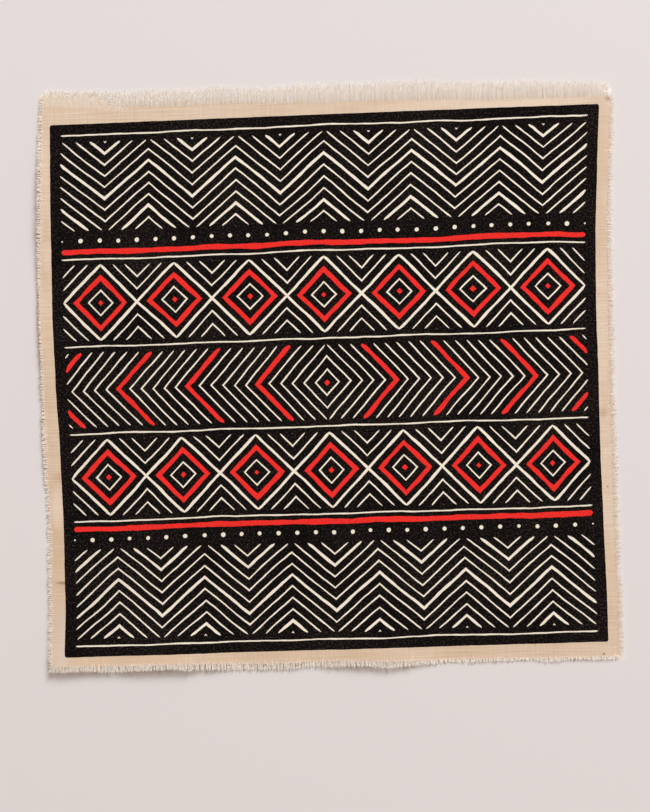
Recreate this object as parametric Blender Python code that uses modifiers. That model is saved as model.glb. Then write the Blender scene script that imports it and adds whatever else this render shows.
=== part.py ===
"""Square printed cloth panel with unravelled edges, lying flat on a surface.

The panel is one cut length of plain-woven cotton. Its four edges are not hemmed: cross threads have
been pulled out, so the cloth's own threads stand out past the weave as a fringe along the far edge
(+Y) and as shorter fray on the other three. Cloth and fringe are therefore one solid.

The solid is a thin sheet whose outline follows the cloth, with slightly bowed sides. Its middle
lies flat on z = 0, its edges lift off a little where the real cloth has curled, and each run of
edge threads is a comb of flat tufts. Units are metres, +Z is up out of the printed face, and the
origin is at the middle of the underside.
"""

import math
import random
from collections import namedtuple

import bmesh
import bpy
from mathutils import Vector

MM = 0.001

# Driving dimensions
CLOTH_THICKNESS = 1.2 * MM
LIFT_REACH = 60 * MM            # how far in from an edge a curl begins
RING_INSETS = (60 * MM, 32 * MM, 13 * MM, 0.0)   # from the flat middle out to the last woven thread
EDGE_WAVER = 0.5 * MM           # the cut edge wanders by this much
WAVER_PER_SIDE = 3.5            # wanders along one side
TUFT_TIP_SHARE = 0.55           # width of a tuft's tip as a share of its root
TUFT_DROOP = 0.35               # a tuft's tip hangs this share of the edge's lift
TUFT_LEAN = 0.12                # a tuft leans sideways by up to this share of its length
CORNER_REACH = 0.12             # share of a side over which a lifted corner comes down
SEED = 11

# The four sides in the order of a walk round the panel, anticlockwise seen from above.
# corner is where the side starts, bow is how far its middle stands out from the straight line,
# outward is the way its threads point, strips is how many equal steps the side is cut into,
# and fray is the free length of its threads, each one up to fray_spread shorter or longer.
Side = namedtuple("Side", "name corner bow outward strips fray fray_spread")
SIDES = (
    Side("near", (-224.3 * MM, -222.0 * MM), 2.6 * MM, (0, -1), 131, 4.8 * MM, 0.9 * MM),
    Side("right", (220.6 * MM, -223.4 * MM), -1.6 * MM, (1, 0), 81, 4.0 * MM, 0.8 * MM),
    Side("far", (223.3 * MM, 215.9 * MM), 0.3 * MM, (0, 1), 151, 11.8 * MM, 1.1 * MM),
    Side("left", (-219.2 * MM, 219.6 * MM), 4.2 * MM, (-1, 0), 81, 2.5 * MM, 0.6 * MM),
)

# Where an edge has curled up. middle and reach are shares of the side's length from its first
# corner, and height is the lift of the edge there.
Curl = namedtuple("Curl", "side middle reach height")
CURLS = (
    Curl("near", 0.12, 0.42, 3.4 * MM),
    Curl("near", 0.56, 0.10, 1.0 * MM),
    Curl("near", 0.70, 0.08, 0.9 * MM),
    Curl("near", 0.97, 0.07, 1.0 * MM),
    Curl("far", 0.02, 0.05, 0.8 * MM),
    Curl("left", 0.22, 0.24, 2.4 * MM),
    Curl("left", 0.60, 0.10, 0.8 * MM),
    Curl("left", 0.97, 0.22, 2.6 * MM),
)

CALICO_COLOUR = (0.69, 0.52, 0.38, 1.0)
CALICO_ROUGHNESS = 0.92

EdgePoint = namedtuple("EdgePoint", "place outward lift")


def clear_scene():
    """Remove whatever the scene holds."""
    for item in list(bpy.data.objects):
        bpy.data.objects.remove(item, do_unlink=True)


def curl_height(side_name, share):
    """Lift of the woven edge at a share of the way along a side."""
    height = 0.0
    for curl in CURLS:
        away = abs(share - curl.middle) / curl.reach
        if curl.side == side_name and away < 1.0:
            height = max(height, curl.height * 0.5 * (1.0 + math.cos(math.pi * away)))
    return height


def corner_lift(side_index):
    """Lift shared by the two sides that meet at a side's first corner."""
    here = curl_height(SIDES[side_index].name, 0.0)
    before = curl_height(SIDES[side_index - 1].name, 1.0)
    return max(here, before)


def side_points(side_index):
    """Points of one side's woven edge, from its first corner up to the next side's."""
    side = SIDES[side_index]
    start = Vector(side.corner)
    end = Vector(SIDES[(side_index + 1) % len(SIDES)].corner)
    outward = Vector(side.outward)
    lift_at_start = corner_lift(side_index)
    lift_at_end = corner_lift((side_index + 1) % len(SIDES))
    points = []
    for step in range(side.strips):
        share = step / side.strips
        bow = side.bow * 4.0 * share * (1.0 - share)
        waver = EDGE_WAVER * math.sin(math.pi * share) * math.sin(2.0 * math.pi * WAVER_PER_SIDE * share)
        place = start.lerp(end, share) + outward * (bow + waver)
        near_start = max(0.0, 1.0 - share / CORNER_REACH)
        near_end = max(0.0, 1.0 - (1.0 - share) / CORNER_REACH)
        lift = max(curl_height(side.name, share), lift_at_start * near_start, lift_at_end * near_end)
        points.append(EdgePoint(place, outward, lift))
    return points


def ring_place(edge_point, inset):
    """Where an edge point goes on the ring that lies inset from the edge."""
    half = max(abs(edge_point.place.x), abs(edge_point.place.y))
    flat = edge_point.place * (1.0 - inset / half)
    lift = edge_point.lift * (1.0 - inset / LIFT_REACH) ** 2
    return Vector((flat.x, flat.y, lift))


def pull_out_ring(mesh, ring_edges, strip_layer, edge_points, inset):
    """Extrude a closed ring of edges to the next ring and return the new edges."""
    made = bmesh.ops.extrude_edge_only(mesh, edges=ring_edges)["geom"]
    new_vertices = {item for item in made if isinstance(item, bmesh.types.BMVert)}
    for vertex in new_vertices:
        vertex.co = ring_place(edge_points[vertex[strip_layer]], inset)
    return [item for item in made
            if isinstance(item, bmesh.types.BMEdge) and set(item.verts) <= new_vertices]


def strip_of(edge, strip_layer, strip_count):
    """The strip that an edge of the outer ring spans, numbered by the point that it starts from."""
    first, second = sorted(vertex[strip_layer] for vertex in edge.verts)
    closes_the_ring = first == 0 and second == strip_count - 1
    return second if closes_the_ring else first


def add_tufts(mesh, outer_edges, strip_layer, edge_points):
    """Extrude every second strip of each side outwards as a tuft of free threads."""
    draw = random.Random(SEED)
    edge_of_strip = {strip_of(edge, strip_layer, len(edge_points)): edge for edge in outer_edges}
    first_strip = 0
    for side in SIDES:
        along = Vector((-side.outward[1], side.outward[0]))
        for step in range(1, side.strips - 1, 2):
            edge = edge_of_strip[first_strip + step]
            length = side.fray + side.fray_spread * draw.uniform(-1.0, 1.0)
            lean = TUFT_LEAN * length * draw.uniform(-1.0, 1.0)
            made = bmesh.ops.extrude_edge_only(mesh, edges=[edge])["geom"]
            tips = [item for item in made if isinstance(item, bmesh.types.BMVert)]
            middle = (tips[0].co + tips[1].co) / 2.0
            for tip in tips:
                spread = (tip.co - middle) * TUFT_TIP_SHARE
                reach = Vector(side.outward) * length + along * lean
                tip.co = middle + spread + Vector((reach.x, reach.y, -middle.z * TUFT_DROOP))
        first_strip += side.strips


def centre_on_origin(mesh):
    """Slide the sheet so that its outline's box is centred on the origin."""
    lows = [min(vertex.co[axis] for vertex in mesh.verts) for axis in (0, 1)]
    highs = [max(vertex.co[axis] for vertex in mesh.verts) for axis in (0, 1)]
    shift = Vector((-(lows[0] + highs[0]) / 2.0, -(lows[1] + highs[1]) / 2.0, 0.0))
    bmesh.ops.translate(mesh, verts=mesh.verts, vec=shift)


def make_underside():
    """The sheet's lower surface, with its rings and tufts, as an open mesh whose faces look up."""
    edge_points = [point for index in range(len(SIDES)) for point in side_points(index)]
    mesh = bmesh.new()
    strip_layer = mesh.verts.layers.int.new("strip")
    bmesh.ops.create_circle(mesh, cap_ends=True, segments=len(edge_points), radius=1.0)
    mesh.verts.ensure_lookup_table()
    for strip, vertex in enumerate(mesh.verts):
        vertex[strip_layer] = strip
        vertex.co = ring_place(edge_points[strip], RING_INSETS[0])
    ring = list(mesh.edges)
    for inset in RING_INSETS[1:]:
        ring = pull_out_ring(mesh, ring, strip_layer, edge_points, inset)
    add_tufts(mesh, ring, strip_layer, edge_points)
    centre_on_origin(mesh)
    bmesh.ops.recalc_face_normals(mesh, faces=mesh.faces)
    mesh.normal_update()
    if sum(face.normal.z * face.calc_area() for face in mesh.faces) < 0.0:
        bmesh.ops.reverse_faces(mesh, faces=mesh.faces)
    return mesh


def make_material(name, colour, roughness):
    """A plain Principled finish."""
    material = bpy.data.materials.new(name)
    material.use_nodes = True
    surface = material.node_tree.nodes["Principled BSDF"]
    surface.inputs["Base Color"].default_value = colour
    surface.inputs["Roughness"].default_value = roughness
    surface.inputs["Metallic"].default_value = 0.0
    return material


def make_panel(collection):
    """The cloth with its fringe, as one sheet with thickness."""
    mesh = make_underside()
    data = bpy.data.meshes.new("panel")
    mesh.to_mesh(data)
    mesh.free()
    data.materials.append(make_material("calico", CALICO_COLOUR, CALICO_ROUGHNESS))
    panel = bpy.data.objects.new("panel", data)
    collection.objects.link(panel)
    solidify = panel.modifiers.new("thickness", "SOLIDIFY")
    solidify.thickness = CLOTH_THICKNESS
    solidify.offset = 1.0
    solidify.use_even_offset = False
    return panel


def main():
    clear_scene()
    collection = bpy.data.collections.new("fringed_cloth_panel")
    bpy.context.scene.collection.children.link(collection)
    make_panel(collection)


main()
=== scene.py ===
"""Looks of a square printed calico panel with unravelled edges, laid face up on a pale floor.

The panel is one cut length of plain-woven unbleached cotton. Its face is printed with a black field
that leaves thin cream lines of bare cloth, with some lines filled in red. The four edges are not
hemmed: a fringe of the cloth's own threads stands out of the far edge (+Y), and shorter fray out of
the other three. Everything is in metres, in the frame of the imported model.
"""

import logging
import math
from dataclasses import dataclass, field
from enum import Enum
from functools import reduce

import bpy
import numpy as np
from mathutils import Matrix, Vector, noise


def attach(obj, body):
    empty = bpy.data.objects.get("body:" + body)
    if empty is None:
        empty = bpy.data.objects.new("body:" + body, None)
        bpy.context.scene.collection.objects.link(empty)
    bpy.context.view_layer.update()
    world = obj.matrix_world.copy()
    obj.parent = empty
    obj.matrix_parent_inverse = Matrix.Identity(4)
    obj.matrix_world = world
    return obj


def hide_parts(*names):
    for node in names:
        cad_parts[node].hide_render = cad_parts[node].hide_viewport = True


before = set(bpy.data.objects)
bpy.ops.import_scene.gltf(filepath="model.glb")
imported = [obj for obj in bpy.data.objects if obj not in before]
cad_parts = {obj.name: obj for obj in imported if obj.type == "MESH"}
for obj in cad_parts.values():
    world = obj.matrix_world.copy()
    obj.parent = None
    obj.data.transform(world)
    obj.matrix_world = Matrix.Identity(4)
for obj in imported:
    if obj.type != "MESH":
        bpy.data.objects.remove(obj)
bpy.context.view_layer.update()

LOG = logging.getLogger("calico_panel")
MM = 0.001
NODE = "panel"
BODY = "root"

Colour = tuple[float, float, float, float]
Pair = tuple[float, float]


def linear(hex_colour: str) -> Colour:
    """Turn an sRGB hex colour into the linear colour that shaders use.

    Args:
        hex_colour: Six hex digits, two each for red, green and blue.

    Returns:
        Linear red, green, blue and an alpha of 1.
    """
    parts = [int(hex_colour[at:at + 2], 16) / 255.0 for at in (0, 2, 4)]
    curve = [part / 12.92 if part <= 0.04045 else ((part + 0.055) / 1.055) ** 2.4 for part in parts]
    return (*curve, 1.0)


def eased(share: float) -> float:
    """Ease a share from 0 to 1, slowly at both ends."""
    return share * share * (3.0 - 2.0 * share)


def add_object(name: str, data: bpy.types.ID) -> bpy.types.Object:
    """Put new data into the scene, as an object at the origin."""
    made = bpy.data.objects.new(name, data)
    bpy.context.scene.collection.objects.link(made)
    return made


def add_piece(name: str, data: bpy.types.Mesh) -> bpy.types.Object:
    """Put a finished mesh into the scene as one smooth visible piece."""
    data.name = name
    data.shade_smooth()
    LOG.info("%s: %d faces", name, len(data.polygons))
    return add_object(name, data)


def add_attribute(data: bpy.types.Mesh, name: str, values: np.ndarray, domain: str = "POINT") -> None:
    """Give a mesh a named number on each of its points or corners."""
    data.attributes.new(name, "FLOAT", domain).data.foreach_set("value", values.astype(np.float32))


def add_node(
    tree: bpy.types.NodeTree, kind: str, inputs: dict[str | int, object] | None = None, **settings: object
) -> bpy.types.Node:
    """Add a node to a tree, with its settings, values and links.

    Args:
        tree: The shader or geometry tree.
        kind: The node's type, as Blender names it.
        inputs: Input name or number, and the value or the reading that feeds it.
        **settings: The node's own properties.

    Returns:
        The new node.
    """
    node = tree.nodes.new(kind)
    for name, value in settings.items():
        setattr(node, name, value)
    for key, value in (inputs or {}).items():
        if isinstance(value, Reading):
            tree.links.new(value.socket, node.inputs[key])
        else:
            node.inputs[key].default_value = value
    return node


def read(
    tree: bpy.types.NodeTree, kind: str, inputs: dict[str | int, object] | None = None,
    output: str | int = 0, **settings: object
) -> "Reading":
    """Add a node as add_node does, and read the output that is asked for."""
    return Reading(add_node(tree, kind, inputs, **settings).outputs[output])


class Reading:
    """A number or a place that nodes work out. Signs between readings add the nodes for them."""

    def __init__(self, socket: bpy.types.NodeSocket) -> None:
        """Read an output socket."""
        self.socket = socket
        self.tree = socket.id_data
        self.is_place = socket.type in ("VECTOR", "RGBA")

    def math(self, operation: str, *terms: "Reading | float") -> "Reading":
        """Work out a number from this one and others, in the order of the Math node's inputs."""
        return read(self.tree, "ShaderNodeMath", dict(enumerate((self, *terms))), operation=operation)

    def sign(self, operation: str, other: "Reading | float | tuple", key: str | int = 1) -> "Reading":
        """Work out a number or a place from this one and another."""
        kind = "ShaderNodeVectorMath" if self.is_place else "ShaderNodeMath"
        return read(self.tree, kind, {0: self, key: other}, operation=operation)

    def __add__(self, other: "Reading | float | tuple") -> "Reading":
        """The sum."""
        return self.sign("ADD", other)

    def __sub__(self, other: "Reading | float | tuple") -> "Reading":
        """The difference."""
        return self.sign("SUBTRACT", other)

    def __rsub__(self, other: float) -> "Reading":
        """A plain number less this one."""
        return read(self.tree, "ShaderNodeMath", {0: other, 1: self}, operation="SUBTRACT")

    def __mul__(self, other: "Reading | float | tuple") -> "Reading":
        """The product. A place is scaled by a number, or by three numbers one for each axis."""
        if self.is_place and not isinstance(other, tuple):
            return self.sign("SCALE", other, "Scale")
        return self.sign("MULTIPLY", other)

    def __truediv__(self, other: "Reading | float") -> "Reading":
        """The quotient of two numbers."""
        return self.math("DIVIDE", other)

    def __pow__(self, power: float) -> "Reading":
        """The number raised to a power."""
        return self.math("POWER", power)

    def __abs__(self) -> "Reading":
        """The number without its sign."""
        return self.math("ABSOLUTE")

    def __lt__(self, limit: "Reading | float") -> "Reading":
        """1 where the number is below a limit, else 0."""
        return self.math("LESS_THAN", limit)

    def most(self, other: "Reading | float") -> "Reading":
        """The larger of two numbers."""
        return self.math("MAXIMUM", other)

    def least(self, other: "Reading | float") -> "Reading":
        """The smaller of two numbers."""
        return self.math("MINIMUM", other)

    def held(self) -> "Reading":
        """The number, kept between 0 and 1."""
        return self.most(0.0).least(1.0)

    def wrapped(self, period: float) -> "Reading":
        """How far the number is past the nearest whole period, from minus half a period to half."""
        return self.math("WRAP", period / 2.0, -period / 2.0)

    def counted(self, spacing: float) -> tuple["Reading", "Reading"]:
        """How far the number is from the nearest of many equal steps, and that step's number."""
        offset = self.wrapped(spacing)
        return offset, (self - offset) / spacing

    def dot(self, way: "Reading") -> "Reading":
        """How far a place lies along a way."""
        return read(self.tree, "ShaderNodeVectorMath", {0: self, 1: way}, "Value", operation="DOT_PRODUCT")

    def parts(self) -> list["Reading"]:
        """The three numbers of a place."""
        split = add_node(self.tree, "ShaderNodeSeparateXYZ", {0: self})
        return [Reading(output) for output in split.outputs]

    def grain(self, size: Pair, detail: float = 1.0, output: int = 0) -> "Reading":
        """A soft random value that varies over the cloth, at this place in millimetres.

        Args:
            size: Millimetres across and along that one grain takes.
            detail: How much finer structure is laid over it.
            output: 0 for a number from 0 to 1, mostly near 0.5, and 1 for three such numbers.

        Returns:
            The random value.
        """
        scaled = self * (1.0 / size[0], 1.0 / size[1], 1.0)
        inputs = {"Vector": scaled, "Scale": 1.0, "Detail": detail}
        return read(self.tree, "ShaderNodeTexNoise", inputs, output)


def mingled(share: Reading, first: Reading | Colour, second: Reading | Colour) -> Reading:
    """Mix two colours, with the first at a share of 0 and the second at 1."""
    return read(share.tree, "ShaderNodeMix", {0: share, 6: first, 7: second}, 2, data_type="RGBA")


def new_material(name: str) -> tuple[bpy.types.Material, bpy.types.NodeTree]:
    """Start a material with an empty tree."""
    material = bpy.data.materials.new(name)
    material.use_nodes = True
    material.node_tree.nodes.clear()
    return material, material.node_tree


def end_material(relief: Reading, depth: float, surface: dict[str, object]) -> None:
    """End a material's tree with its relief, its surface and its output.

    Args:
        relief: The height of the surface.
        depth: What a height of 1 stands for, in metres.
        surface: Inputs of the Principled shader.
    """
    bump = read(relief.tree, "ShaderNodeBump", {"Height": relief, "Distance": depth, "Strength": 1.0})
    shader = read(relief.tree, "ShaderNodeBsdfPrincipled", {**surface, "Normal": bump})
    add_node(relief.tree, "ShaderNodeOutputMaterial", {"Surface": shader})


class Side(Enum):
    """The four woven edges, in the order of a walk round the panel, anticlockwise from above."""

    NEAR = 0
    RIGHT = 1
    FAR = 2
    LEFT = 3


@dataclass(frozen=True)
class Edge:
    """One woven edge as cut, in millimetres: where it starts, its bow, and the way its threads point."""

    corner: Pair
    bow: float
    outward: Pair


@dataclass(frozen=True)
class Curl:
    """A stretch of edge that has lifted: its middle and reach as shares of the side, and its height."""

    side: Side
    middle: float
    reach: float
    height: float


@dataclass(frozen=True)
class Crease:
    """A soft ridge from one place to another, in millimetres."""

    start: Pair
    end: Pair
    width: float
    height: float


@dataclass
class ClothShape:
    """Where the cloth lies: its pulled-out-of-square outline, its curled edges and its creases."""

    edges: dict[Side, Edge] = field(default_factory=lambda: {
        Side.NEAR: Edge((-224.3, -221.6), 0.2, (0, -1)),
        Side.RIGHT: Edge((221.3, -226.4), -3.1, (1, 0)),
        Side.FAR: Edge((226.3, 215.9), 0.3, (0, 1)),
        Side.LEFT: Edge((-219.2, 228.6), 4.2, (-1, 0)),
    })
    curls: tuple[Curl, ...] = (
        Curl(Side.NEAR, 0.01, 0.22, 4.6),
        Curl(Side.NEAR, 0.19, 0.19, 4.6),
        Curl(Side.NEAR, 0.40, 0.12, 1.1),
        Curl(Side.NEAR, 0.57, 0.16, 3.5),
        Curl(Side.NEAR, 0.76, 0.10, 0.5),
        Curl(Side.NEAR, 0.93, 0.12, 0.4),
        Curl(Side.FAR, 0.02, 0.05, 0.8),
        Curl(Side.LEFT, 0.03, 0.12, 1.4),
        Curl(Side.LEFT, 0.20, 0.20, 4.4),
        Curl(Side.LEFT, 0.42, 0.20, 2.4),
        Curl(Side.LEFT, 0.60, 0.10, 1.6),
        Curl(Side.LEFT, 0.93, 0.20, 1.5),
    )
    creases: tuple[Crease, ...] = (
        Crease((-228.0, -152.5), (-205.0, -154.5), 2.6, 0.55),
        Crease((222.0, -30.0), (206.0, -31.5), 3.5, 0.35),
        Crease((-226.0, -66.0), (-208.0, -70.0), 5.0, 0.35),
    )
    slide: Pair = (1.412, -0.499)    # from the measured outline to the CAD frame
    left_drift: tuple[float, ...] = (-0.8, 1.6, 2.4, 1.8, -0.2, -1.2, -0.9, -0.7, -0.7)
    right_drift: tuple[float, ...] = (0.8, 1.7, 1.4, 0.9, 0.9, -0.2, -0.4, 0.6, 1.5)
    web_depth: float = 9.0           # how far the far left corner's matted web stands past the weave
    web_from: float = 0.85           # the shares of the far edge over which it comes in
    web_until: float = 0.93
    width: float = 447.0
    length: float = 441.0
    waver: float = 0.5
    wavers_per_side: float = 3.5
    lift_reach: float = 60.0
    thickness: float = 0.6
    ground_gap: float = 0.1
    wave_height: float = 0.5
    wave_size: float = 80.0
    ripple_height: float = 0.5
    ripple_size: float = 11.0
    ripple_reach: float = 14.0

    def edge_place(self, side: Side, share: float) -> Vector:
        """A point of a woven edge on the floor plan, in millimetres.

        Args:
            side: Which edge.
            share: How far along it, from 0 at its first corner to 1.

        Returns:
            The point.
        """
        edge = self.edges[side]
        end = Vector(self.edges[Side((side.value + 1) % len(Side))].corner)
        waver = self.waver * math.sin(math.pi * share)
        waver *= math.sin(2.0 * math.pi * self.wavers_per_side * share)
        out = edge.bow * 4.0 * share * (1.0 - share) + waver
        if side is Side.FAR:
            web = max(0.0, min(1.0, (share - self.web_from) / (self.web_until - self.web_from)))
            out -= self.web_depth * share * (1.0 - eased(web))
        return Vector(edge.corner).lerp(end, share) + Vector(edge.outward) * out + Vector(self.slide)

    @staticmethod
    def between(values: tuple[float, ...], share: float) -> float:
        """Ease from one to the next of a row of values that stand at equal steps."""
        place = share * (len(values) - 1)
        step = min(int(place), len(values) - 2)
        return values[step] + (values[step + 1] - values[step]) * eased(place - step)

    def undrifted(self, across: float, along: float) -> Vector:
        """A point of the cloth on the floor plan, blended from its four edges.

        Args:
            across: Share of the width, from the left.
            along: Share of the length, from the near edge.

        Returns:
            The point in millimetres.
        """
        near, far = self.edge_place(Side.NEAR, across), self.edge_place(Side.FAR, 1.0 - across)
        left, right = self.edge_place(Side.LEFT, 1.0 - along), self.edge_place(Side.RIGHT, along)
        corners = [self.edge_place(side, 0.0) for side in Side]
        low = corners[0].lerp(corners[1], across)
        high = corners[3].lerp(corners[2], across)
        return near.lerp(far, along) + left.lerp(right, across) - low.lerp(high, along)

    def plan(self, across: float, along: float) -> Vector:
        """A point of the cloth as undrifted gives it, with the sideways drift of the weave."""
        left, right = self.between(self.left_drift, along), self.between(self.right_drift, along)
        return self.undrifted(across, along) + Vector((left + (right - left) * across, 0.0))

    def curl_height(self, side: Side, share: float) -> float:
        """Lift of one woven edge in millimetres, at a share of its length."""
        found = 0.0
        for curl in self.curls:
            away = abs(share - curl.middle) / curl.reach
            if curl.side is side and away < 1.0:
                found += (curl.height * 0.5 * (1.0 + math.cos(math.pi * away))) ** 4
        return found ** 0.25

    @staticmethod
    def bump(place: Vector, size: float, layer: float) -> float:
        """A soft random height at a place, not below 0, with bumps of a given size."""
        return max(0.0, noise.noise(Vector((place.x / size, place.y / size, layer))))

    def lift(self, across: float, along: float) -> float:
        """Height of the underside above the floor, in millimetres.

        Args:
            across: Share of the width, from the left.
            along: Share of the length, from the near edge.

        Returns:
            The lift that the curled edges, waves, ripples and creases give.
        """
        insets = {
            Side.NEAR: (along * self.length, across),
            Side.RIGHT: ((1.0 - across) * self.width, along),
            Side.FAR: ((1.0 - along) * self.length, 1.0 - across),
            Side.LEFT: (across * self.width, 1.0 - along),
        }
        total = 0.0
        for side, (inset, share) in insets.items():
            if inset < self.lift_reach:
                total += (self.curl_height(side, share) * (1.0 - inset / self.lift_reach) ** 2) ** 4
        place = self.plan(across, along)
        near_edge = max(0.0, 1.0 - min(inset for inset, _ in insets.values()) / self.ripple_reach) ** 2
        height = total ** 0.25 + self.bump(place, self.wave_size, 2.5) * self.wave_height
        height += self.bump(place, self.ripple_size, 7.5) * near_edge * self.ripple_height
        height += sum(self.crease_height(crease, place) for crease in self.creases)
        return self.ground_gap + height

    @staticmethod
    def crease_height(crease: Crease, place: Vector) -> float:
        """Height that one crease adds at a place, in millimetres."""
        start = Vector(crease.start)
        run = Vector(crease.end) - start
        share = max(0.0, min(1.0, (place - start).dot(run) / run.length_squared))
        away = (place - start - run * share).length / crease.width
        return crease.height * math.exp(-away * away) * math.sin(math.pi * (0.15 + 0.7 * share))

    def edge_point(self, side: Side, share: float) -> Vector:
        """A point of a woven edge in the middle of the cloth's thickness, in metres."""
        across, along = {
            Side.NEAR: (share, 0.0),
            Side.RIGHT: (1.0, share),
            Side.FAR: (1.0 - share, 1.0),
            Side.LEFT: (0.0, 1.0 - share),
        }[side]
        flat = self.plan(across, along)
        return Vector((flat.x, flat.y, self.lift(across, along) + self.thickness / 2.0)) * MM


@dataclass
class PrintPlace:
    """Where the printed field lies on the cloth, in millimetres before the outline's slide."""

    half_width: float = 215.0
    half_length: float = 210.5
    left: float = -213.9
    left_bow: float = -1.8
    right: float = 215.75
    right_splay: float = 2.15
    right_bow: float = -3.75
    far: float = 207.9
    far_splay: float = 2.3
    far_bow: float = 0.4
    near: float = -214.4

    def cloth_place(self, x: float, y: float) -> Pair:
        """The print's own coordinates of a point, as if the cloth lay square.

        Args:
            x: The point's place to the right, in millimetres.
            y: Its place towards the far edge.

        Returns:
            Millimetres across and along from the middle of the print.
        """
        up, over = y / self.half_length, x / self.half_width
        left = self.left + self.left_bow * (1.0 - up * up)
        right = self.right + self.right_splay * up + self.right_bow * (1.0 - up * up)
        far = self.far + self.far_splay * over + self.far_bow * (1.0 - over * over)
        across = (2.0 * x - left - right) / (right - left) * self.half_width
        along = (2.0 * y - far - self.near) / (far - self.near) * self.half_length
        return across, along


@dataclass(frozen=True)
class Calico:
    """Unbleached plain-woven cotton, matt, with slubby threads and a few dark flecks of seed.

    The tone runs from 0, the deep colour, to 1, the pale one.
    """

    pale: str = "ebd4bc"
    deep: str = "dabc9f"
    line: str = "faeedb"
    fleck: str = "a98867"
    roughness: float = 0.93
    shine: float = 0.06
    thread_pitch: float = 1.0       # about twice the real 0.5 mm, so that the weave shows in the render
    weave_height: float = 0.03
    weave_tone: float = 0.06
    over_share: float = 0.35        # how much the thread that lies on top stands out
    uneven: float = 2.2             # how far slubs push the threads aside
    slub_height: float = 0.16
    slub_width: float = 1.3
    slub_length: float = 38.0
    warp_share: float = 0.6         # the slubs of the warp show less than those of the weft
    slub_tone: float = 1.5
    patch_size: float = 46.0
    patch_tone: float = 1.1
    tone_shift: float = -1.3
    paler_per_mm: float = 0.0011    # the cloth's tone grows a little paler towards its far right corner
    fleck_size: float = 1.7
    fleck_limit: float = 0.735
    fleck_strength: float = 0.45


@dataclass(frozen=True)
class Ink:
    """Pigment printed into cotton by hand: matt. It is a little thinner where threads stand proud, which is
    drawn as fine random specks.
    """

    black: str = "0a0706"
    worn_black: str = "3a302b"
    red: str = "f8342e"
    deep_red: str = "d62621"
    show_through: float = 0.10
    wear_size: float = 1.4
    wear: float = 5.2               # how sharply worn specks stand out
    patch_size: float = 60.0
    patch_wear: float = 0.8
    wear_shift: float = -3.0
    line_tint: float = 0.85         # how much paler than the margin the bare lines are


@dataclass(frozen=True)
class Zigzags:
    """The outer bands: nested zigzag lines, every fourth one bold. Sizes in millimetres."""

    start: float = 126.0
    end: float = 196.5
    half_period: float = 34.5
    slope: float = 0.85
    spacing: float = 9.0
    bold_every: float = 4.0


@dataclass(frozen=True)
class Lozenges:
    """The middle bands: rows of nested lozenges, one ring of each red. Sizes in millimetres."""

    middle: float = 69.0
    half_height: float = 30.0
    half_width: float = 29.5
    rings: float = 3.0
    red_ring: float = 2.0
    bold_ring: float = 3.0


@dataclass(frozen=True)
class Chevrons:
    """The central band: arrow lines that point outwards from the middle. Sizes in millimetres."""

    end: float = 29.5
    slope: float = 0.9
    spacing: float = 9.2
    red_every: float = 6.0


class Pen:
    """Draws lines whose width varies as a hand's does, within one band at a time."""

    def __init__(self, drawn: Reading, pressure: Reading, half_width: float, taper: float) -> None:
        """Take up the pen.

        Args:
            drawn: The place on the drawing, in millimetres from its middle.
            pressure: How much wider or narrower than usual lines are here.
            half_width: How far to either side the drawing reaches.
            taper: The length over which lines narrow towards their ends.
        """
        self.across, along, _ = drawn.parts()
        self.up, self.out = abs(along), abs(self.across)
        self.pressure, self.half_width, self.taper = pressure, half_width, taper
        self.width = pressure

    def span(self, start: float, end: float) -> None:
        """Keep to the band between two distances from the middle line, and narrow its lines' ends."""
        room = (self.up - start).least(end - self.up).least(self.half_width - self.out)
        self.width = self.pressure * (room / self.taper).held().math("SQRT")

    def line(self, away: Reading, half: float) -> Reading:
        """1 where a value is within half a line's width of 0."""
        return away < self.width * half


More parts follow.
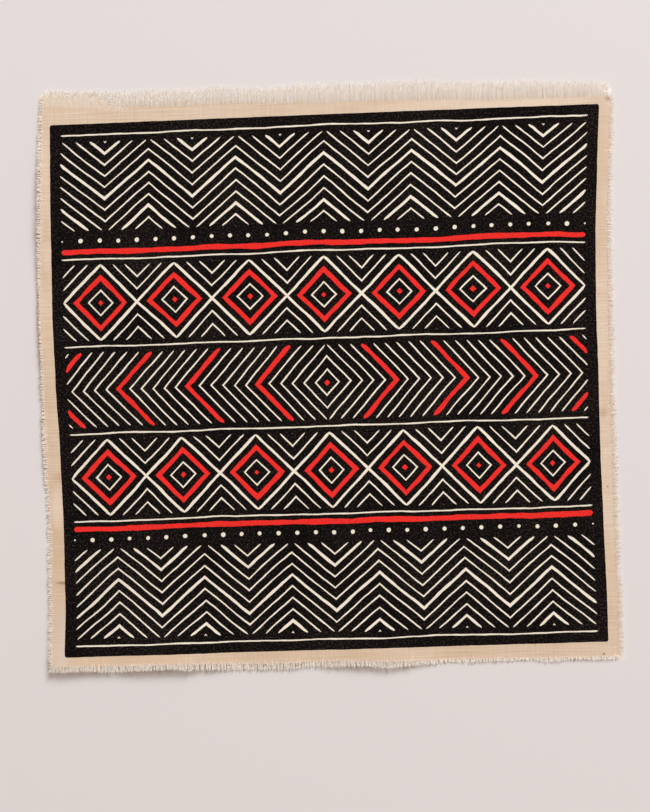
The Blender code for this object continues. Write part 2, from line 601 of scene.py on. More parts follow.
@dataclass
class PrintedDesign:
    """A banded design, mirrored about the print's middle line, on a black field. Sizes in millimetres."""

    place: PrintPlace = field(default_factory=PrintPlace)
    zigzags: Zigzags = Zigzags()
    lozenges: Lozenges = Lozenges()
    chevrons: Chevrons = Chevrons()
    line_half: float = 0.58
    bold_half: float = 1.0
    red_half: float = 1.68
    bar_half: float = 2.0
    taper: float = 1.8
    corner: float = 2.0             # radius of the printed field's corners
    inner_half_width: float = 206.5
    thin_rules: tuple[float, ...] = (34.5, 103.5, 202.0)
    red_bar: float = 109.5
    dot_row: float = 118.0
    dot_spacing: float = 14.75
    dot_radius: float = 1.6
    wavers: tuple[Pair, ...] = ((0.9, 0.32), (9.0, 0.6))   # size and reach of a hand's shake
    drift: Pair = (48.0, 3.4)       # and of the slow drift of its lines
    pressure_size: float = 13.0
    pressure_least: float = 0.55    # the least width of a line, as a share, and what pressure adds
    pressure_gain: float = 0.9

    def draw(self, flat: Reading) -> tuple[Reading, Reading, Reading]:
        """Work out where the field is inked and where it is red.

        Args:
            flat: The place on the cloth, in millimetres.

        Returns:
            Readings that are 1 on the lines left bare, on the red lines, and within the field.
        """
        outline = reduce(Reading.__add__, (self.shift(flat, waver) for waver in self.wavers), flat)
        pressure = flat.grain((self.pressure_size,) * 2) * self.pressure_gain + self.pressure_least
        pen = Pen(outline + self.shift(flat, self.drift), pressure, self.inner_half_width, self.taper)
        within = pen.out < self.inner_half_width
        lozenge_lines, lozenge_reds = self.draw_lozenges(pen)
        chevron_lines, chevron_reds = self.draw_chevrons(pen)
        rules, bars = self.draw_rules(pen)
        lines = (self.draw_zigzags(pen), lozenge_lines, chevron_lines, *rules)
        bare, red = (reduce(Reading.most, drawn) for drawn in (lines, (lozenge_reds, chevron_reds, bars)))
        x, y, _ = outline.parts()
        halves = ((x, self.place.half_width), (y, self.place.half_length))
        past_x, past_y = ((abs(part) - (half - self.corner)).most(0.0) ** 2.0 for part, half in halves)
        return bare * within, red * within, past_x + past_y < self.corner ** 2

    @staticmethod
    def shift(flat: Reading, waver: Pair) -> Reading:
        """A random shift of the drawing, for a waver's size and reach."""
        size, reach = waver
        return (flat.grain((size, size), output=1) - (0.5, 0.5, 0.5)) * reach

    def thin_or_bold(self, pen: Pen, offset: Reading, is_bold: Reading) -> Reading:
        """The thin lines, and the bold ones where is_bold says so."""
        return (pen.line(offset, self.bold_half) * is_bold).most(pen.line(offset, self.line_half))

    def draw_zigzags(self, pen: Pen) -> Reading:
        """Draw the outer bands."""
        z = self.zigzags
        slant = pen.across.math("PINGPONG", z.half_period) * z.slope + pen.up
        offset, number = slant.counted(z.spacing)
        pen.span(z.start, z.end)
        offset = abs(offset) * (1.0 / math.hypot(1.0, z.slope))
        return self.thin_or_bold(pen, offset, abs(number.wrapped(z.bold_every)) < 0.5)

    def draw_lozenges(self, pen: Pen) -> tuple[Reading, Reading]:
        """Draw the middle bands: their bare lines and their red ones."""
        z = self.lozenges
        reach = 1.0 / math.hypot(1.0 / z.half_width, 1.0 / z.half_height)
        cell = abs(pen.across.wrapped(2.0 * z.half_width)) / z.half_width
        row = abs(pen.up - z.middle) / z.half_height
        offset, number = ((cell + row) * reach).counted(reach / z.rings)
        offset = abs(offset)
        is_red, is_bold, is_core = (
            number.math("COMPARE", ring, 0.3) for ring in (z.red_ring, z.bold_ring, 0.0)
        )
        is_red = is_red.most(is_core)
        pen.span(z.middle - z.half_height, z.middle + z.half_height)
        lines = self.thin_or_bold(pen, offset, is_bold)
        return lines * (1.0 - is_red), pen.line(offset, self.red_half) * is_red

    def draw_chevrons(self, pen: Pen) -> tuple[Reading, Reading]:
        """Draw the central band: its bare lines and its red ones."""
        z = self.chevrons
        offset, number = (pen.up * z.slope + pen.out).counted(z.spacing)
        is_red = abs(number.wrapped(z.red_every)) < 0.5
        pen.span(-z.end, z.end)
        offset = abs(offset) * (1.0 / math.hypot(1.0, z.slope))
        return pen.line(offset, self.line_half) * (1.0 - is_red), pen.line(offset, self.red_half) * is_red

    def draw_rules(self, pen: Pen) -> tuple[list[Reading], Reading]:
        """Draw the long rules and the rows of dots, and the red bars."""
        pen.span(-self.place.half_length, self.place.half_length)
        rules = [pen.line(abs(pen.up - middle), self.line_half) for middle in self.thin_rules]
        away = pen.across.wrapped(self.dot_spacing) ** 2.0 + (pen.up - self.dot_row) ** 2.0
        rules.append(pen.line(away.math("SQRT"), self.dot_radius))
        return rules, pen.line(abs(pen.up - self.red_bar), self.bar_half)


@dataclass(frozen=True)
class Mark:
    """A stain or speck on the cloth, or a patch of painted shade: its middle and size in millimetres, its
    colour and its strength.
    """

    x: float
    y: float
    wide: float
    high: float
    colour: str
    strength: float


@dataclass
class PrintedCloth:
    """The finish of the cloth's two faces: weave, slubs, flecks, stains, painted shade along the creases, and
    the printed design.
    """

    calico: Calico = Calico()
    ink: Ink = Ink()
    design: PrintedDesign = field(default_factory=PrintedDesign)
    marks: tuple[Mark, ...] = (
        Mark(211.0, -220.0, 1.2, 1.1, "5a4436", 0.85),
        Mark(219.5, -89.0, 1.1, 0.9, "8a5a44", 0.7),
        # painted shade along the crease in the left margin
        Mark(-214.5, -151.6, 8.5, 1.8, "a58560", 0.8),
        # painted shade along the creases in the right and left margins
        Mark(218.0, -31.0, 4.0, 5.0, "bf9d7a", 0.4),
        Mark(-216.0, -68.0, 5.0, 5.5, "bf9d7a", 0.3),
        # a brownish spot at the far right corner, which is also the painted shadow of the stray tuft there
        Mark(222.2, 214.8, 3.4, 3.2, "a5825f", 0.6),
        Mark(5.0, 217.0, 75.0, 11.0, "d9bb97", 0.3),
        Mark(24.0, -217.0, 34.0, 8.0, "c9ab8a", 0.35),
        Mark(215.0, 168.0, 13.0, 55.0, "cda983", 0.4),
        Mark(218.0, 106.0, 9.0, 34.0, "cda983", 0.4),
        Mark(-186.0, 229.5, 46.0, 7.0, "e9dccb", 0.6),
        Mark(-218.0, -200.0, 9.0, 40.0, "dcc8b3", 0.9),
        Mark(-219.0, -92.0, 7.0, 20.0, "efdac4", 0.75),
        Mark(-218.0, 107.0, 6.0, 14.0, "ead3bc", 0.8),
    )

    def make(self) -> bpy.types.Material:
        """Build the material, which reads the cloth's print map and its printed_face attribute."""
        material, tree = new_material("printed_calico")
        flat = read(tree, "ShaderNodeUVMap", uv_map="print") * (1.0 / MM)
        weave, slub = self.weave(flat)
        relief = slub * self.calico.slub_height + weave * self.calico.weave_height
        end_material(relief, MM, {
            "Base Color": self.lay_ink(flat, self.cloth_colour(flat, weave, slub)),
            "Roughness": self.calico.roughness,
            "Specular IOR Level": self.calico.shine,
        })
        return material

    def weave(self, flat: Reading) -> tuple[Reading, Reading]:
        """Work out the plain weave: threads that pass over and under each other, with uneven slubs.

        Args:
            flat: The place on the cloth, in millimetres.

        Returns:
            The height of the weave and that of the slubs, both near 1 at most.
        """
        look = self.calico
        x, y, _ = flat.parts()
        warp_slub = flat.grain((look.slub_width, look.slub_length), 2.0)
        weft_slub = flat.grain((look.slub_length, look.slub_width), 2.0)
        warp, weft = (
            ((slub * look.uneven + axis) * (math.pi / look.thread_pitch)).math("SINE")
            for slub, axis in ((warp_slub, x), (weft_slub, y))
        )
        woven = warp * weft * look.over_share + abs(warp) * abs(weft)
        return woven, warp_slub * look.warp_share + weft_slub

    def cloth_colour(self, flat: Reading, weave: Reading, slub: Reading) -> Reading:
        """Colour the bare cloth, with its patches, slubs, flecks, stains, specks and painted shade.

        Args:
            flat: The place on the cloth, in millimetres.
            weave: The height of the weave.
            slub: The height of the slubs.

        Returns:
            The colour.
        """
        look = self.calico
        x, y, _ = flat.parts()
        tone = flat.grain((look.patch_size,) * 2, 2.0) * look.patch_tone + (x + y) * look.paler_per_mm
        tone = tone + slub * look.slub_tone + weave * look.weave_tone + look.tone_shift
        cloth = mingled(tone, linear(look.deep), linear(look.pale))
        flecks = flat.grain((look.fleck_size,) * 2).math("GREATER_THAN", look.fleck_limit)
        cloth = mingled(flecks * look.fleck_strength, cloth, linear(look.fleck))
        for mark in self.marks:
            away = ((x - mark.x) / mark.wide) ** 2.0 + ((y - mark.y) / mark.high) ** 2.0
            cloth = mingled((1.0 - away).most(0.0) * mark.strength, cloth, linear(mark.colour))
        return cloth

    def lay_ink(self, flat: Reading, cloth: Reading) -> Reading:
        """Lay the black field and the red lines over the cloth colour, thinner where worn.

        Args:
            flat: The place on the cloth, in millimetres.
            cloth: The colour of the bare cloth.

        Returns:
            The colour of the printed cloth.
        """
        ink = self.ink
        bare, red, inside = self.design.draw(flat)
        worn = flat.grain((ink.wear_size,) * 2, 3.0) * ink.wear + ink.wear_shift
        worn = (flat.grain((ink.patch_size,) * 2) * ink.patch_wear + worn).held()
        face = read(flat.tree, "ShaderNodeAttribute", output="Fac", attribute_name="printed_face")
        strength = (face * (1.0 - ink.show_through) + ink.show_through) * inside
        ground = mingled(bare * ink.line_tint, cloth, linear(self.calico.line))
        black = mingled(worn, linear(ink.black), linear(ink.worn_black))
        reds = mingled(worn, linear(ink.red), linear(ink.deep_red))
        return mingled(strength * red, mingled(strength * (1.0 - bare), ground, black), reds)


@dataclass
class ClothSheet:
    """The woven sheet itself: its two faces and the thin rim between them."""

    shape: ClothShape
    finish: PrintedCloth = field(default_factory=PrintedCloth)
    cells_across: int = 172
    cells_along: int = 170
    ragged: float = 0.45
    ragged_size: float = 4.0
    sharp_angle: float = 50.0
    face_share: float = 0.87       # of the bake map's width that the printed face takes
    back_start: float = 0.88

    def surface_point(self, across: float, along: float) -> Vector:
        """A point of the underside, with the cut edge's raggedness, in metres."""
        flat = self.shape.plan(across, along)
        edge = max(0.0, 1.0 - min(across, 1.0 - across, along, 1.0 - along) * self.cells_across / 2.0)
        seed = Vector((flat.x / self.ragged_size, flat.y / self.ragged_size, 0.5))
        push = noise.noise_vector(seed) * self.ragged * edge
        height = self.shape.lift(across, along)
        return Vector((flat.x + push.x, flat.y + push.y, height)) * MM

    def rim_loop(self) -> list[int]:
        """Grid numbers of the rim, anticlockwise from above."""
        columns, rows = self.cells_across + 1, self.cells_along + 1
        near = list(range(columns))
        right = [row * columns + columns - 1 for row in range(1, rows)]
        far = [(rows - 1) * columns + column for column in range(columns - 2, -1, -1)]
        left = [row * columns for row in range(rows - 2, 0, -1)]
        return near + right + far + left

    def build(self) -> bpy.types.Object:
        """Make the sheet, with its maps, attribute and finish.

        Returns:
            The finished object, at the origin.
        """
        columns, rows = self.cells_across + 1, self.cells_along + 1
        shares = [
            (column / self.cells_across, row / self.cells_along)
            for row in range(rows) for column in range(columns)
        ]
        under = [self.surface_point(*share) for share in shares]
        over = [point + Vector((0.0, 0.0, self.shape.thickness * MM)) for point in under]
        count = len(shares)
        faces = []
        for row in range(self.cells_along):
            for column in range(self.cells_across):
                corner = row * columns + column
                quad = (corner, corner + 1, corner + columns + 1, corner + columns)
                faces.append(tuple(number + count for number in quad))
                faces.append(quad[::-1])
        rim = self.rim_loop()
        for first, second in zip(rim, rim[1:] + rim[:1]):
            faces.append((first, second, second + count, first + count))
        data = bpy.data.meshes.new("cloth")
        data.from_pydata([tuple(point) for point in under + over], [], faces)
        self.add_maps(data, shares)
        data.materials.append(self.finish.make())
        cloth = add_piece("cloth", data)
        data.set_sharp_from_angle(angle=math.radians(self.sharp_angle))
        return cloth

    def add_maps(self, data: bpy.types.Mesh, shares: list[Pair]) -> None:
        """Give the sheet its print map, its bake map and its printed_face attribute.

        Args:
            data: The sheet's mesh, underside points first.
            shares: Shares across and along of each underside point.
        """
        slide, place = self.shape.slide, self.finish.design.place
        even = [self.shape.undrifted(*share) for share in shares]
        print_map = np.array([place.cloth_place(p.x - slide[0], p.y - slide[1]) for p in even] * 2) * MM
        corners = np.empty(len(data.loops), np.int32)
        data.loops.foreach_get("vertex_index", corners)
        is_face = np.zeros(len(data.loops))
        for polygon in data.polygons:
            on_face = all(number >= len(shares) for number in polygon.vertices)
            is_face[polygon.loop_start:polygon.loop_start + polygon.loop_total] = on_face
        bake = np.array(shares * 2)[corners]
        bake[:, 0] *= np.where(is_face > 0.5, self.face_share, 1.0 - self.back_start)
        bake[:, 0] += np.where(is_face > 0.5, 0.0, self.back_start)
        for name, values in (("OFBake", bake), ("print", print_map[corners])):
            data.uv_layers.new(name=name).data.foreach_set("uv", values.astype(np.float32).ravel())
        add_attribute(data, "printed_face", is_face, "CORNER")


@dataclass(frozen=True)
class FrayedCotton:
    """Loose single cotton threads: open, fibrous and matt. Light soaks through them, so they look paler
    than the weave, and more so towards their loosened tips."""

    pale: str = "f6e8d8"
    deep: str = "d9bb99"
    roughness: float = 0.95
    shine: float = 0.06
    soak: float = 0.55
    soak_colour: tuple[float, float, float] = (1.0, 0.9, 0.8)
    soak_depth: float = 0.0008
    fibre_size: float = 0.0004
    fibre_height: float = 0.00005
    fibre_tone: float = 0.5
    thread_tone: float = 0.55
    tip_tone: float = 0.7
    tone_shift: float = -0.35

    def make(self) -> bpy.types.Material:
        """Build the material, which reads the threads' tone and along attributes."""
        material, tree = new_material("frayed_cotton")
        tone, along = (
            read(tree, "ShaderNodeAttribute", output="Fac", attribute_name=name)
            for name in ("tone", "along")
        )
        fibre = read(tree, "ShaderNodeTexNoise", {
            "Vector": read(tree, "ShaderNodeTexCoord", output="Object"),
            "Scale": 1.0 / self.fibre_size, "Detail": 2.0,
        })
        share = fibre * self.fibre_tone + tone * self.thread_tone + along * self.tip_tone + self.tone_shift
        end_material(fibre, self.fibre_height, {
            "Base Color": mingled(share, linear(self.deep), linear(self.pale)),
            "Roughness": self.roughness,
            "Specular IOR Level": self.shine,
            "Subsurface Weight": self.soak,
            "Subsurface Radius": self.soak_colour,
            "Subsurface Scale": self.soak_depth,
        })
        return material


@dataclass(frozen=True)
class Fray:
    """The loose threads of one edge. Lengths in millimetres, spreads as shares."""

    name: str
    side: Side
    threads: int
    length: float
    spread: float
    reaches: tuple[float, ...]      # share of the length that the threads reach, along the side
    ragged: float = 0.14            # how much that share wanders
    radius: float = 0.14
    clump_pitch: float = 3.0
    clump_pull: float = 0.6
    clump_release: float = 0.0      # how far the tips spread out of their clumps again
    curl: float = 1.3
    rise: float = 0.5
    droop: float = 0.6
    overlap: float = 1.8            # how far in from the edge a thread may come free of the weave
    fan: float = 0.7                # how far the threads at a corner turn towards it
    tone: float = 0.0               # how much paler than the rest
    lift: float = 0.0               # how far above the middle of the weave the threads start
    shades: bool = False            # opened cotton lets the light through, but the under layer does not
    span: Pair = (0.003, 0.997)     # the shares of the edge that it runs between
    seed: int = 1


class ThreadTree:
    """The Geometry Nodes tree that grows loose threads out of a woven edge. Its inputs are a Fray's."""

    COUNTS = ("threads", "seed")
    LENGTHS = ("length", "radius", "clump_pitch", "curl", "rise", "overlap", "lift")
    SHARES = ("spread", "clump_pull", "clump_release", "droop", "tone")
    POINTS_PER_THREAD = 8
    PROFILE_SIDES = 3
    INSIDE = (0.2, 1.0)              # roots lie in from the edge by the square of this, of the overlap
    ASIDE = (-0.35 * MM, 0.35 * MM)
    ABOVE = (-0.15 * MM, 0.45 * MM)
    TONES = (0.1, 0.9)
    SHADE_STREAK_SIZE = 1.6 * MM           # painted shade in streaks, for the shadows between clumps; threads that lie together share a streak
    SHADE_STREAK_TONE = 2.1
    CLUMP_SCALE = 130.0              # wanderings of the clumps in a metre, and how far they go
    CLUMP_WANDER = 5.0
    BEND_POWER = 0.8                 # threads turn to their clump near the root, and curl near the tip
    CURL_POWER = 1.5
    CURL_SCALE = 260.0
    CURL_REACH = 4.0
    CURL_APART = 7.0                 # how far apart threads that lie together are in the curls' noise
    LEAST_RISE = 0.3
    FLOOR_GAP = 0.05 * MM
    TAPER = (1.15, -0.4)             # width at the root, and what is added to it up to the tip
    STOUTNESS = (1.2, -0.5)          # width of the tamest thread, and what is added up to the wildest

    def __init__(self) -> None:
        """Build the tree."""
        self.tree = bpy.data.node_groups.new("loose_threads", "GeometryNodeTree")
        add_socket = self.tree.interface.new_socket
        kinds = {"Geometry": ("geometry",), "Int": self.COUNTS, "Float": self.LENGTHS + self.SHARES,
                 "Vector": ("outward", "sideways"), "Material": ("finish",)}
        names = [(name, kind) for kind, group in kinds.items() for name in group]
        for name, kind in names:
            add_socket(self.title(name), in_out="INPUT", socket_type="NodeSocket" + kind)
        add_socket("Geometry", in_out="OUTPUT", socket_type="NodeSocketGeometry")
        group = add_node(self.tree, "NodeGroupInput")
        self.given = {name: Reading(group.outputs[self.title(name)]) for name, _ in names}
        self.along, self.wild, self.reach, self.fan = map(self.kept, ("along", "wild", "reach", "fan"))
        self.root = self.kept("root", "FLOAT_VECTOR")
        self.inside = self.draw(*self.INSIDE, 2) ** 2.0 * -1.0 * self.reach * self.given["overlap"]
        self.grow()

    @staticmethod
    def title(name: str) -> str:
        """The name that one of the tree's inputs has in Blender."""
        return name.replace("_", " ").title()

    def add(self, kind: str, inputs: dict[str | int, object] | None = None, **settings: object) -> Reading:
        """Add a node to the tree and read its first output."""
        return read(self.tree, kind, inputs, **settings)

    def draw(self, low: float, high: float, salt: int) -> Reading:
        """A random number for each thread, from the tree's own seed."""
        inputs = {2: low, 3: high, "Seed": self.given["seed"] + float(salt)}
        return read(self.tree, "FunctionNodeRandomValue", inputs, 1, data_type="FLOAT")

    def kept(self, name: str, kind: str = "FLOAT") -> Reading:
        """A named value of the points."""
        return self.add("GeometryNodeInputNamedAttribute", {"Name": name}, data_type=kind)

    def keep(self, geometry: Reading, name: str, value: Reading, kind: str = "FLOAT") -> Reading:
        """Geometry with a named value on its points."""
        inputs = {"Geometry": geometry, "Name": name, "Value": value}
        return self.add("GeometryNodeStoreNamedAttribute", inputs, data_type=kind, domain="POINT")

    def roots(self) -> Reading:
        """Points along the woven edge, one for each thread, with what each thread keeps."""
        given = self.given
        curve = self.add("GeometryNodeMeshToCurve", {"Mesh": given["geometry"]})
        spaced = self.add("GeometryNodeResampleCurve", {"Curve": curve, "Count": given["threads"]})
        aside = given["sideways"] * self.draw(*self.ASIDE, 1)
        above = self.add("ShaderNodeCombineXYZ", {2: self.draw(*self.ABOVE, 6) + given["lift"]})
        points = self.add("GeometryNodeSetPosition", {
            "Geometry": spaced, "Offset": aside + given["outward"] * self.inside + above,
        })
        place = self.add("GeometryNodeInputPosition")
        # painted shade and light in streaks across the threads, which stand in for the shadows between clumps
        shade_streak = self.add("ShaderNodeTexNoise", {
            "W": place.dot(given["sideways"]), "Scale": 1.0 / self.SHADE_STREAK_SIZE, "Detail": 1.0,
        }, noise_dimensions="1D")
        tone = self.draw(*self.TONES, 3) + given["tone"] + (shade_streak - 0.5) * self.SHADE_STREAK_TONE
        points = self.keep(points, "root", place, "FLOAT_VECTOR")
        points = self.keep(points, "tone", tone)
        return self.keep(points, "wild", self.draw(0.0, 1.0, 4))

    def straight_threads(self) -> Reading:
        """Straight threads of the right lengths, one on each root."""
        given = self.given
        line = self.add("GeometryNodeCurvePrimitiveLine", {"Start": (0, 0, 0), "End": (0, 0, 1)})
        cut = self.add("GeometryNodeResampleCurve", {"Curve": line, "Count": self.POINTS_PER_THREAD})
        factor = read(self.tree, "GeometryNodeSplineParameter", output="Factor")
        share = (self.draw(-1.0, 1.0, 5) * given["spread"] + 1.0) * self.reach
        size = share * given["length"] - self.inside
        turned = self.add("FunctionNodeAlignRotationToVector", {"Vector": given["outward"]}, axis="Z")
        placed = self.add("GeometryNodeInstanceOnPoints", {
            "Points": self.roots(), "Instance": self.keep(cut, "along", factor), "Rotation": turned,
            "Scale": self.add("ShaderNodeCombineXYZ", {0: 1.0, 1: 1.0, 2: size}),
        })
        return self.add("GeometryNodeRealizeInstances", {"Geometry": placed})

    def bent_threads(self) -> Reading:
        """The threads, drawn into clumps, curled, and let down towards the floor, with none below it."""
        given, along, root = self.given, self.along, self.root
        loose = self.add("ShaderNodeTexNoise", {"Vector": root, "Scale": self.CLUMP_SCALE, "Detail": 1.0})
        shift = (loose - 0.5) * given["clump_pitch"] * self.CLUMP_WANDER
        half = given["clump_pitch"] * 0.5
        from_clump = (root.dot(given["sideways"]) + shift).math("WRAP", half, half * -1.0)
        bend = along ** self.BEND_POWER * (1.0 - given["clump_release"] * along)
        pull = from_clump * given["clump_pull"] * bend * -1.0 + self.fan * given["length"] * along
        place = self.add("GeometryNodeInputPosition")
        curls = read(self.tree, "ShaderNodeTexNoise", {
            "Vector": place + root * self.CURL_APART, "Scale": self.CURL_SCALE, "Detail": 2.0,
        }, 1)
        curl = along ** self.CURL_POWER * given["curl"] * self.CURL_REACH
        curled = (curls - (0.5, 0.5, 0.5)) * curl
        bent = self.add("GeometryNodeSetPosition", {
            "Geometry": self.straight_threads(), "Offset": given["sideways"] * pull + curled,
        })
        x, y, height = self.add("GeometryNodeInputPosition").parts()
        height = height - root.parts()[2] * given["droop"] * along
        height = height + (self.wild + self.LEAST_RISE) * given["rise"] * along
        height = height.most(given["radius"] + self.FLOOR_GAP)
        settled = self.add("ShaderNodeCombineXYZ", {0: x, 1: y, 2: height})
        return self.add("GeometryNodeSetPosition", {"Geometry": bent, "Position": settled})

    def grow(self) -> None:
        """Give the bent threads their thickness and finish, and end the tree."""
        taper, stout = (
            kept * more + start
            for kept, (start, more) in ((self.along, self.TAPER), (self.wild, self.STOUTNESS))
        )
        threads = {"Curve": self.bent_threads(), "Radius": taper * stout}
        sized = self.add("GeometryNodeSetCurveRadius", threads)
        profile = self.add("GeometryNodeCurvePrimitiveCircle", {
            "Resolution": self.PROFILE_SIDES, "Radius": self.given["radius"],
        })
        solid = self.add("GeometryNodeCurveToMesh", {
            "Curve": sized, "Profile Curve": profile, "Fill Caps": True,
        })
        real = self.add("GeometryNodeRealizeInstances", {"Geometry": solid})
        dressed = self.add("GeometryNodeSetMaterial", {"Geometry": real, "Material": self.given["finish"]})
        add_node(self.tree, "NodeGroupOutput", {0: dressed})

    def apply(self, edge: bpy.types.Object, values: dict[str, object]) -> bpy.types.Mesh:
        """Grow the threads out of an edge.

        Args:
            edge: An object whose mesh is the line of the woven edge. It is removed.
            values: The tree's inputs by name.

        Returns:
            The threads as one mesh.
        """
        modifier = edge.modifiers.new("threads", "NODES")
        modifier.node_group = self.tree
        titled = {self.title(name): value for name, value in values.items()}
        for item in self.tree.interface.items_tree:
            if item.in_out == "INPUT" and item.name in titled:
                modifier[item.identifier] = titled[item.name]
        bpy.context.view_layer.update()
        evaluated = edge.evaluated_get(bpy.context.evaluated_depsgraph_get())
        data = bpy.data.meshes.new_from_object(evaluated)
        bpy.data.objects.remove(edge)
        return data


@dataclass(frozen=True)
class Stray:
    """One long thread that has come away and lies bent: its bends in millimetres, with their heights."""

    bends: tuple[tuple[float, float, float], ...]
    radius: float


@dataclass
class StrayThreads:
    """The few bent threads that lie at the far right corner and along the edges."""

    finish: FrayedCotton = FrayedCotton(pale="fdf4ea")
    tone: float = 1.1
    along: float = 0.5               # as pale as the others are half way to their tips
    strays: tuple[Stray, ...] = (
        Stray(((223.4, 216.4, 1.3), (225.9, 218.6, 2.6), (228.4, 219.2, 2.0), (230.8, 222.2, 0.6)), 0.42),
        Stray(((224.0, 215.6, 1.2), (227.0, 217.4, 2.4), (229.6, 217.8, 1.6), (231.0, 216.0, 0.5)), 0.36),
        Stray(((222.0, 218.0, 1.0), (225.2, 219.6, 2.2), (227.6, 218.4, 1.8), (231.2, 219.6, 0.5)), 0.40),
        Stray(((222.2, 221.5, 0.8), (224.6, 219.6, 1.8), (227.2, 223.8, 1.4), (228.8, 227.0, 0.4)), 0.28),
        Stray(((226.6, 213.0, 1.1), (229.4, 215.4, 1.4), (230.6, 213.2, 0.9), (230.8, 209.6, 0.4)), 0.18),
        Stray(((224.0, 172.4, 0.9), (228.6, 173.2, 1.3), (230.2, 170.8, 1.0), (226.8, 169.6, 0.8)), 0.20),
        Stray(((222.6, 60.0, 0.9), (226.4, 61.4, 1.1), (228.6, 59.0, 0.6), (229.4, 55.6, 0.4)), 0.17),
        Stray(((206.0, -226.8, 1.0), (212.0, -228.6, 1.3), (217.5, -228.2, 1.1), (221.0, -229.4, 0.4)), 0.2),
        Stray(((213.0, -226.6, 1.0), (219.0, -228.4, 1.4), (223.5, -228.8, 1.0), (226.4, -230.2, 0.4)), 0.22),
        Stray(((219.6, -225.0, 1.0), (224.0, -226.0, 1.5), (226.6, -228.0, 1.1), (228.2, -229.0, 0.4)), 0.2),
    )

    def build(self) -> bpy.types.Object:
        """Bend every stray thread and join them into one piece.

        Returns:
            The finished object.
        """
        curve = bpy.data.curves.new("stray_threads", "CURVE")
        curve.dimensions = "3D"
        curve.bevel_depth = 1.0
        curve.bevel_resolution = 1
        curve.resolution_u = 8
        for stray in self.strays:
            spline = curve.splines.new("NURBS")
            spline.points.add(len(stray.bends) - 1)
            for point, bend in zip(spline.points, stray.bends):
                point.co = (*(length * MM for length in bend), 1.0)
                point.radius = stray.radius * MM
            spline.order_u = 3
            spline.use_endpoint_u = True
        holder = bpy.data.objects.new("stray_threads", curve)
        data = bpy.data.meshes.new_from_object(holder)
        bpy.data.objects.remove(holder)
        for name, value in (("tone", self.tone), ("along", self.along)):
            add_attribute(data, name, np.full(len(data.vertices), value))
        data.materials.clear()
        data.materials.append(self.finish.make())
        piece = add_piece("stray_threads", data)
        # the strays cast no shadow; the tuft's shadow at the far right corner is painted on the cloth, in its
        # brown corner spot
        piece.visible_shadow = False
        return piece


FAR_REACHES = (
    0.93, 0.96, 1.0, 1.06, 1.13, 1.13, 1.14, 1.2, 1.24, 1.0, 0.93, 0.98, 1.04, 1.0, 0.72, 0.27, 0.25,
)
NEAR_REACHES = (0.88, 0.86, 0.84, 0.84, 0.88, 0.86, 0.74, 0.74, 0.58, 0.36, 0.36, 0.36, 0.36)
WISP_REACHES = (0.7, 0.8, 0.9, 0.8, 0.7, 0.7, 1.0, 1.1, 0.8, 0.4, 0.3, 0.3, 0.3)
RIGHT_REACHES = (1.0, 1.0, 1.0, 1.0, 1.0, 1.0, 0.95, 0.85, 0.7)


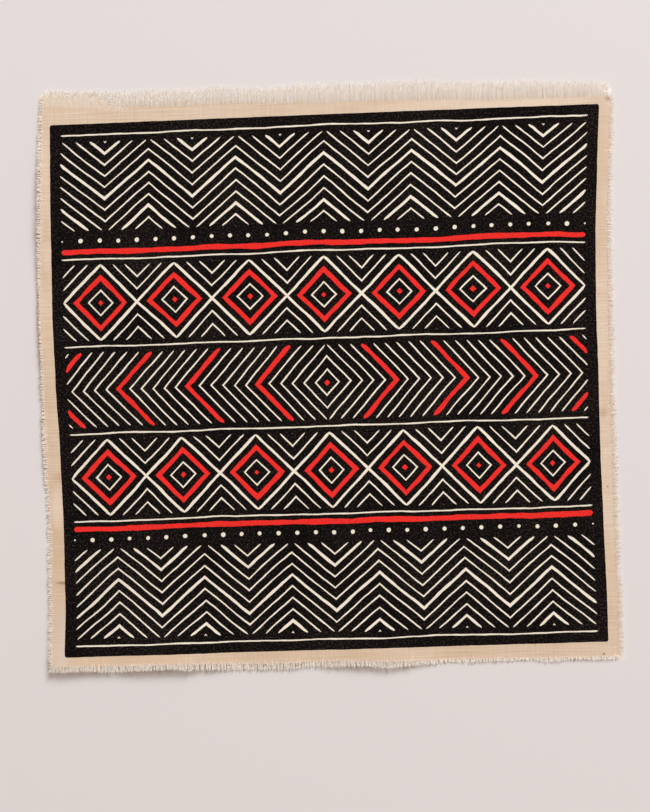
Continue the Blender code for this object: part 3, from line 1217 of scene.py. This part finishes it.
@dataclass
class Fringe:
    """All the loose threads of the panel: upper and under layers for each edge."""

    shape: ClothShape
    finish: FrayedCotton = FrayedCotton()
    steps: int = 240
    fan_reach: float = 0.012
    wander_rate: float = 24.0
    frays: tuple[Fray, ...] = (
        Fray("far_fringe", Side.FAR, 2800, 11.9, 0.16, FAR_REACHES,
             clump_pitch=2.8, clump_pull=0.8, clump_release=0.6, curl=2.2, overlap=2.0,
             fan=0.0, lift=0.1, tone=0.5, seed=3),
        Fray("far_under_fringe", Side.FAR, 1300, 9.6, 0.22, FAR_REACHES,
             clump_pitch=2.2, clump_pull=0.4, curl=1.2, rise=0.2, overlap=1.0, fan=0.0, tone=0.6, seed=13),
        Fray("corner_web", Side.FAR, 420, 3.2, 0.15, (0.6, 1.0, 1.0, 1.0, 1.0),
             clump_pitch=4.0, clump_pull=0.3, curl=3.0, rise=0.4, overlap=11.0,
             fan=0.0, tone=0.9, lift=0.35, seed=15, span=(0.85, 0.997)),
        Fray("near_fray", Side.NEAR, 2900, 4.9, 0.2, NEAR_REACHES, ragged=0.4,
             radius=0.15, clump_pitch=2.6, clump_pull=0.95, clump_release=0.2, rise=1.3,
             droop=0.0, overlap=4.2, tone=0.95, lift=0.25, seed=5),
        Fray("near_under_fray", Side.NEAR, 1500, 4.6, 0.2, NEAR_REACHES, ragged=0.4,
             radius=0.2, clump_pitch=2.2, clump_pull=0.8, curl=0.9, droop=0.0, overlap=0.2,
             tone=-0.1, lift=-0.4, shades=True, seed=5),
        Fray("near_wisps", Side.NEAR, 420, 8.0, 0.35, WISP_REACHES,
             radius=0.09, clump_pitch=4.0, clump_pull=0.3, curl=1.8, rise=0.6, droop=0.5, overlap=1.0,
             tone=1.0, seed=25),
        Fray("right_fray", Side.RIGHT, 1900, 4.3, 0.35, RIGHT_REACHES, ragged=0.35,
             clump_pitch=2.4, clump_pull=0.8, clump_release=0.3, rise=0.4, overlap=2.4, seed=7),
        Fray("right_under_fray", Side.RIGHT, 480, 3.8, 0.35, RIGHT_REACHES,
             radius=0.11, clump_pitch=2.4, clump_pull=0.5, rise=0.1, overlap=0.4,
             lift=-0.35, shades=True, seed=17),
        Fray("left_fray", Side.LEFT, 2400, 1.9, 0.50, (0.5, 1.2, 1.1, 0.3, 0.6, 0.9, 0.9, 0.8, 0.8),
             ragged=0.35, radius=0.16, clump_pitch=2.2, clump_pull=0.8, curl=0.9, rise=0.9, droop=0.0,
             overlap=2.4, tone=0.2, lift=0.2, seed=9),
        Fray("left_under_fray", Side.LEFT, 1200, 2.2, 0.60, (0.4, 1.0, 0.9, 0.3, 0.6, 0.8, 0.8, 0.6, 0.3),
             radius=0.2, clump_pitch=2.2, clump_pull=1.0, curl=0.9, rise=0.8, droop=0.0, overlap=0.6,
             tone=-0.2, lift=-0.4, shades=True, seed=9),
    )

    def edge_line(self, fray: Fray) -> bpy.types.Object:
        """The line of a woven edge, with the share of full length that its threads reach.

        Args:
            fray: The threads that grow out of it.

        Returns:
            An object whose mesh is a chain of points with reach and fan attributes.
        """
        shares = np.linspace(0.0, 1.0, self.steps + 1)
        start, end = fray.span
        points = [self.shape.edge_point(fray.side, start + (end - start) * share) for share in shares]
        data = bpy.data.meshes.new("edge_line")
        data.from_pydata([tuple(p) for p in points], [(at, at + 1) for at in range(self.steps)], [])
        places = [Vector((share * self.wander_rate, fray.seed * 3.7, 0.3)) for share in shares]
        reach = np.interp(shares, np.linspace(0.0, 1.0, len(fray.reaches)), fray.reaches)
        reach += [fray.ragged * noise.noise(place) for place in places]
        fan = np.interp(shares, (0.0, self.fan_reach, 1.0 - self.fan_reach, 1.0), (-1.0, 0.0, 0.0, 1.0))
        add_attribute(data, "reach", reach)
        add_attribute(data, "fan", fan * fray.fan)
        return add_object("edge_line", data)

    def build(self) -> list[bpy.types.Object]:
        """Grow the loose threads of every edge, one piece for each fray."""
        tree, material = ThreadTree(), self.finish.make()
        return [self.build_one(tree, material, fray) for fray in self.frays]

    def build_one(self, tree: ThreadTree, material: bpy.types.Material, fray: Fray) -> bpy.types.Object:
        """Grow the loose threads of one fray.

        Args:
            tree: The tree that grows them.
            material: Their finish.
            fray: Their sizes.

        Returns:
            The finished object.
        """
        x, y = self.shape.edges[fray.side].outward
        values = {name: getattr(fray, name) for name in tree.COUNTS + tree.SHARES}
        values |= {name: getattr(fray, name) * MM for name in tree.LENGTHS}
        values |= {"outward": (x, y, 0.0), "sideways": (-y, x, 0.0), "finish": material}
        piece = add_piece(fray.name, tree.apply(self.edge_line(fray), values))
        piece.visible_shadow = fray.shades
        return piece


@dataclass
class Studio:
    """The pale floor, the soft light from the far right, and the camera straight above."""

    floor_colour: str = "e9e1de"
    floor_roughness: float = 0.9
    floor_shine: float = 0.1
    floor_half: float = 3.0
    floor_drop: float = 0.0002
    frame_length: float = 0.6415     # what the picture's long side covers on the cloth
    lens: float = 85.0
    sensor: float = 36.0
    aim: Pair = (-0.0024, -0.0225)
    roll: float = -1.65              # degrees: the cloth lies a little askew in the picture
    key_azimuth: float = 64.0        # degrees from +X towards +Y
    key_elevation: float = 33.0
    key_distance: float = 8.5
    key_size: float = 4.0
    key_power: float = 815.0
    key_colour: str = "ecf5ff"
    sky_colour: str = "fff0e2"
    sky_strength: float = 0.44

    def build(self) -> None:
        """Make the floor, the lights and the camera."""
        self.make_floor()
        self.make_light()
        self.make_camera()

    def make_floor(self) -> None:
        """Lay the floor just under the cloth."""
        half = self.floor_half
        data = bpy.data.meshes.new("floor")
        corners = [(-half, -half), (half, -half), (half, half), (-half, half)]
        data.from_pydata([(x, y, -self.floor_drop) for x, y in corners], [], [(0, 1, 2, 3)])
        material = bpy.data.materials.new("pale_floor")
        material.use_nodes = True
        surface = material.node_tree.nodes["Principled BSDF"]
        surface.inputs["Base Color"].default_value = linear(self.floor_colour)
        surface.inputs["Roughness"].default_value = self.floor_roughness
        surface.inputs["Specular IOR Level"].default_value = self.floor_shine
        data.materials.append(material)
        floor = add_object("floor", data)

    def make_light(self) -> None:
        """Hang one soft lamp at the far right and light the rest evenly from all round."""
        turn, rise = math.radians(self.key_azimuth), math.radians(self.key_elevation)
        level = math.cos(rise)
        direction = Vector((level * math.cos(turn), level * math.sin(turn), math.sin(rise)))
        data = bpy.data.lights.new("key", "AREA")
        data.shape = "DISK"
        data.size = self.key_size
        data.energy = self.key_power
        data.color = linear(self.key_colour)[:3]
        lamp = add_object("key", data)
        lamp.location = direction * self.key_distance
        lamp.rotation_mode = "QUATERNION"
        lamp.rotation_quaternion = direction.to_track_quat("Z", "Y")
        world = bpy.data.worlds.new("studio")
        world.use_nodes = True
        backdrop = world.node_tree.nodes["Background"]
        backdrop.inputs["Color"].default_value = linear(self.sky_colour)
        backdrop.inputs["Strength"].default_value = self.sky_strength
        bpy.context.scene.world = world

    def make_camera(self) -> None:
        """Set the camera straight above the cloth, turned as the picture was."""
        data = bpy.data.cameras.new("camera")
        data.lens = self.lens
        data.sensor_width = self.sensor
        camera = add_object("camera", data)
        camera.location = (*self.aim, self.frame_length * self.lens / self.sensor)
        camera.rotation_euler = (0.0, 0.0, math.radians(self.roll))
        bpy.context.scene.camera = camera
        bpy.context.scene.view_settings.view_transform = "Standard"


def main() -> None:
    """Build the studio and the panel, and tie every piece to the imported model."""
    logging.basicConfig(level=logging.INFO, format="%(name)s: %(message)s")
    Studio().build()
    shape = ClothShape()
    cloth = ClothSheet(shape).build()
    threads = [*Fringe(shape).build(), StrayThreads().build()]
    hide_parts(NODE)
    for piece in (cloth, *threads):
        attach(piece, BODY)
    shape.width * MM


if __name__ == "__main__":
    main()
